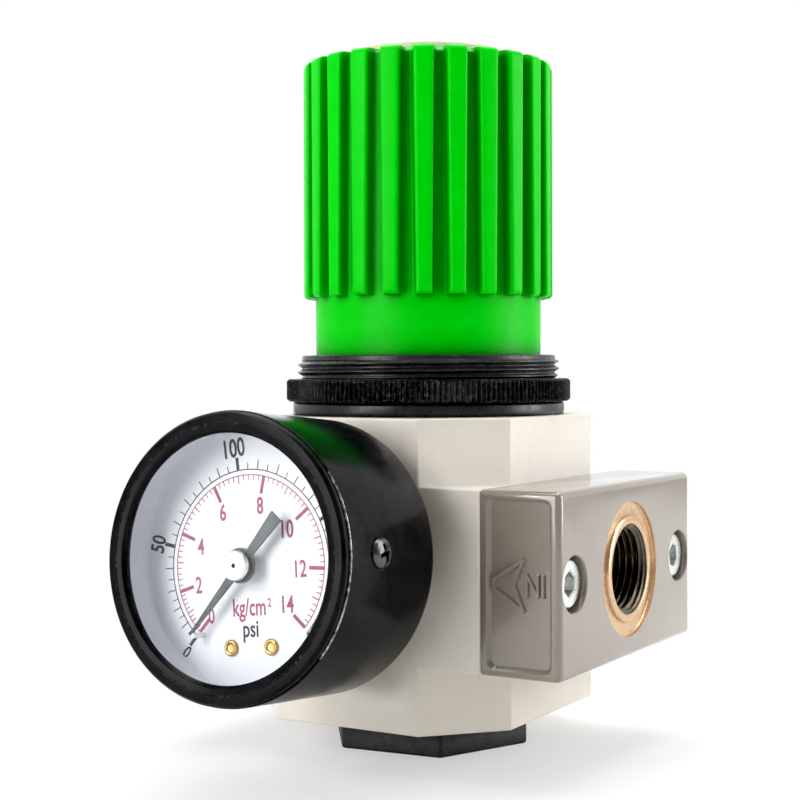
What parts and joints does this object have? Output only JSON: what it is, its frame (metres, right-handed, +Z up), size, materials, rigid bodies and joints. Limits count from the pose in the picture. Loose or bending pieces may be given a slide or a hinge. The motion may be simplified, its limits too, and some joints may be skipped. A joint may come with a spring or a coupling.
{
  "type": "air pressure regulator",
  "caption": "Modular air pressure regulator with a ribbed push-lock adjusting knob, panel nut, port plates, bottom plug and a front dial gauge.",
  "frame": {"origin": "centre of the hex plug's bottom face, on the regulating axis", "axes": "+Z up along the regulating axis to the knob, +X out of the inlet port, -Y out of the gauge side"},
  "size_m": [0.0866, 0.1042, 0.1382],
  "materials": {
    "cream_paint": "satin painted die casting",
    "taupe_zinc": "satin taupe die casting, ports machined",
    "black_plastic": "satin moulded",
    "nut_black": "knurled, satin",
    "knob_green": "satin moulded",
    "cap_cream": "satin moulded",
    "zinc_steel": "zinc plated",
    "steel": "turned steel",
    "spring_steel": "drawn wire",
    "nitrile": "matt",
    "diaphragm_rubber": "matt, fabric reinforced",
    "aluminium": "turned",
    "brass": "turned",
    "bronze": "drawn tube",
    "gauge_black": "gloss enamel",
    "window": "clear",
    "dial_white": "printed",
    "pointer_grey": "satin",
    "hub_silver": "polished face"
  },
  "bodies": {
    "housing": {"body": "cream_paint", "inlet_port_plate": "taupe_zinc", "outlet_port_plate": "taupe_zinc", "inlet_plate_seal": "nitrile", "outlet_plate_seal": "nitrile", "inlet_plate_screws": "zinc_steel", "outlet_plate_screws": "zinc_steel", "bonnet": "black_plastic", "diaphragm": "diaphragm_rubber", "valve_seat": "brass", "valve_spring": "spring_steel", "bottom_plug": "black_plastic", "bottom_plug_seal": "nitrile", "rear_port_plug": "zinc_steel", "rear_plug_seal": "nitrile", "gauge_case": "gauge_black", "gauge_bezel": "gauge_black", "gauge_window": "window", "window_gasket": "nitrile", "gauge_dial": "dial_white", "zero_stop_pin": "zinc_steel", "dial_rivets": "brass", "movement_front_plate": "brass", "movement_rear_plate": "brass", "movement_pillars": "brass", "bourdon_tube": "bronze", "tube_tip": "brass", "gauge_socket": "brass", "gauge_thread_seal": "nitrile", "case_screws": "gauge_black"},
    "panel_nut": {"panel_nut": "nut_black"},
    "spindle": {"adjusting_spindle": "steel", "thrust_washer": "zinc_steel", "spindle_retaining_ring": "spring_steel"},
    "knob": {"knob": "knob_green", "knob_cap": "cap_cream"},
    "spring_nut": {"spring_nut": "brass"},
    "diaphragm_centre": {"lower_spring_seat": "zinc_steel", "diaphragm_plate": "aluminium", "diaphragm_nut": "zinc_steel", "adjusting_spring": "spring_steel"},
    "valve": {"valve_stem": "steel", "valve_poppet": "brass", "valve_disc": "nitrile"},
    "pointer": {"pinion_shaft": "steel", "pointer": "pointer_grey", "pointer_hub": "hub_silver", "hairspring": "bronze"},
    "sector": {"sector_gear": "brass"},
    "link": {"link": "brass"}
  },
  "joints": [
    {"name": "knob_turn", "type": "hinge", "parent": "housing", "child": "spindle", "pos_m": [0, 0, 0.1], "axis": [0, 0, 1], "range_deg": [-2520, 0]},
    {"name": "knob_pull", "type": "slide", "parent": "spindle", "child": "knob", "axis": [0, 0, 1], "range_m": [0, 0.004]},
    {"name": "spring_nut_travel", "type": "slide", "parent": "housing", "child": "spring_nut", "axis": [0, 0, 1], "range_m": [-0.01052, 0], "deforming": ["adjusting_spring"]},
    {"name": "diaphragm_travel", "type": "slide", "parent": "housing", "child": "diaphragm_centre", "axis": [0, 0, 1], "range_m": [-0.002, 0], "deforming": ["diaphragm"]},
    {"name": "valve_lift", "type": "slide", "parent": "housing", "child": "valve", "axis": [0, 0, 1], "range_m": [-0.0021, 0], "deforming": ["valve_spring"]},
    {"name": "panel_nut_turn", "type": "hinge", "parent": "housing", "child": "panel_nut", "pos_m": [0, 0, 0.0686], "axis": [0, 0, 1], "range_deg": [0, 1080]},
    {"name": "pointer_sweep", "type": "hinge", "parent": "housing", "child": "pointer", "pos_m": [-0.0004, -0.06141, 0.04022], "axis": [0, 0.9959, -0.0899], "range_deg": [0, 270]},
    {"name": "sector_swing", "type": "hinge", "parent": "housing", "child": "sector", "pos_m": [0.00809, -0.0556, 0.03118], "axis": [0, 0.9959, -0.0899], "range_deg": [-42, 0]},
    {"name": "link_swing", "type": "hinge", "parent": "sector", "child": "link", "pos_m": [0.0113, -0.05475, 0.02839], "axis": [0, 0.9959, -0.0899], "range_deg": [0, 41]}
  ],
  "couplings": [
    {"joint": "spring_nut_travel", "follows": "knob_turn", "m_per_rad": 0.00023873},
    {"joint": "valve_lift", "follows": "diaphragm_travel", "ratio": 1},
    {"joint": "sector_swing", "follows": "pointer_sweep", "ratio": -0.14286},
    {"joint": "link_swing", "follows": "pointer_sweep", "ratio": 0.1374}
  ]
}
